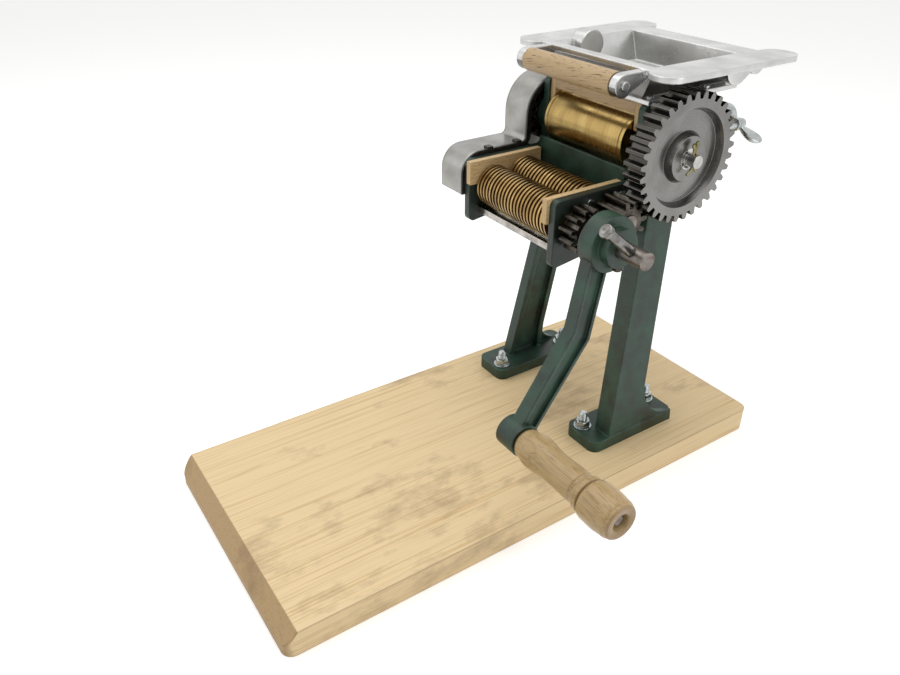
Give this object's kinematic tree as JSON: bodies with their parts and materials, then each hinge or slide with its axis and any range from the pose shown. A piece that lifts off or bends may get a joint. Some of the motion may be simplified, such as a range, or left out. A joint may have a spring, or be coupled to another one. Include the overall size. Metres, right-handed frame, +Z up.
{
  "type": "noodle machine",
  "caption": "Hand-cranked noodle machine on a wooden plank, with smooth sheeting rollers under a hopper, geared to interleaved grooved cutter rolls and a crank arm with a turned grip.",
  "frame": {"origin": "middle of the plank's underside", "axes": "+X along the rollers towards the crank side, +Y along the plank towards the machine's rear, +Z up"},
  "size_m": [0.3662, 0.5377, 0.388],
  "materials": {
    "pine": "planed softwood, oiled and smudged",
    "green_paint": "dark green enamel on a sand casting",
    "zinc_steel": "zinc plated",
    "dark_steel": "oiled steel, light rust",
    "bright_steel": "turned and ground",
    "gear_steel": "machined gear steel",
    "brass": "turned brass",
    "bronze": "bearing bronze",
    "beech": "planed beech",
    "oak": "turned hardwood, oiled",
    "cast_aluminium": "sand cast, brushed on top",
    "polished_aluminium": "polished",
    "black_paint": "black"
  },
  "bodies": {
    "stand": {"base_board": "pine", "frame_bolts": "zinc_steel", "frame_washers": "zinc_steel", "frame_nuts": "zinc_steel", "left_frame": "green_paint", "right_frame": "green_paint", "cross_stay": "green_paint", "stay_screws": "dark_steel", "cutter_board_left": "beech", "cutter_board_right": "beech", "board_screws": "zinc_steel", "front_bar": "bright_steel", "rear_bar": "bright_steel", "front_comb": "brass", "rear_comb": "brass", "cutter_bushes": "bronze", "roller_bushes": "bronze", "hopper": "cast_aluminium", "hopper_screws": "zinc_steel", "guide_axle": "zinc_steel", "throat_cheek_left": "beech", "throat_cheek_right": "beech", "throat_strip": "beech", "gear_cover": "polished_aluminium", "cover_rim": "black_paint", "cover_studs": "zinc_steel", "cover_nuts": "zinc_steel"},
    "crank": {"crank_shaft": "bright_steel", "front_cutter": "brass", "crank_pinion": "gear_steel", "front_cutter_gear": "gear_steel", "crank_arm": "green_paint", "clamp_screw": "dark_steel", "drive_pin": "bright_steel", "handle_spindle": "bright_steel", "spindle_nut": "dark_steel"},
    "grip": {"handle_grip": "oak"},
    "rear_cutter_roll": {"rear_cutter": "brass", "rear_cutter_shaft": "dark_steel", "idler_pinion": "gear_steel", "rear_cutter_gear": "gear_steel"},
    "front_roller_set": {"front_roller": "brass", "front_roller_shaft": "dark_steel", "big_gear": "gear_steel", "split_pin": "brass", "front_roller_gear": "gear_steel"},
    "gap_blocks": {"left_block": "dark_steel", "right_block": "dark_steel"},
    "rear_roller_set": {"rear_roller": "brass", "rear_roller_shaft": "dark_steel", "rear_roller_gear": "gear_steel"},
    "left_screw": {"left_wing_screw": "zinc_steel"},
    "right_screw": {"right_wing_screw": "zinc_steel"},
    "guide": {"guide_roller": "beech"}
  },
  "joints": [
    {"name": "crank_turn", "type": "hinge", "parent": "stand", "child": "crank", "pos_m": [-0.005, 0.0535, 0.261], "axis": [1, 0, 0], "continuous": true},
    {"name": "grip_spin", "type": "hinge", "parent": "crank", "child": "grip", "pos_m": [-0.005, -0.04442, 0.11959], "axis": [1, 0, 0], "continuous": true},
    {"name": "rear_cutter_turn", "type": "hinge", "parent": "stand", "child": "rear_cutter_roll", "pos_m": [-0.005, 0.08828, 0.26416], "axis": [1, 0, 0], "continuous": true},
    {"name": "front_roller_turn", "type": "hinge", "parent": "stand", "child": "front_roller_set", "pos_m": [-0.005, 0.13767, 0.31356], "axis": [1, 0, 0], "continuous": true},
    {"name": "gap_slide", "type": "slide", "parent": "stand", "child": "gap_blocks", "axis": [0, 1, 0], "range_m": [0, 0.0025]},
    {"name": "rear_roller_turn", "type": "hinge", "parent": "gap_blocks", "child": "rear_roller_set", "pos_m": [-0.005, 0.18887, 0.31356], "axis": [1, 0, 0], "continuous": true},
    {"name": "left_screw_turn", "type": "hinge", "parent": "gap_blocks", "child": "left_screw", "pos_m": [-0.066, 0.18887, 0.31356], "axis": [0, 1, 0], "range_deg": [0, 720]},
    {"name": "right_screw_turn", "type": "hinge", "parent": "gap_blocks", "child": "right_screw", "pos_m": [0.056, 0.18887, 0.31356], "axis": [0, 1, 0], "range_deg": [0, 720]},
    {"name": "guide_spin", "type": "hinge", "parent": "stand", "child": "guide", "pos_m": [-0.005, 0.09567, 0.36946], "axis": [1, 0, 0], "continuous": true}
  ],
  "couplings": [
    {"joint": "rear_cutter_turn", "follows": "crank_turn", "ratio": -1},
    {"joint": "front_roller_turn", "follows": "crank_turn", "ratio": 0.33333},
    {"joint": "rear_roller_turn", "follows": "crank_turn", "ratio": -0.33333},
    {"joint": "left_screw_turn", "follows": "gap_slide", "rad_per_m": 5026.5},
    {"joint": "right_screw_turn", "follows": "gap_slide", "rad_per_m": 5026.5}
  ]
}
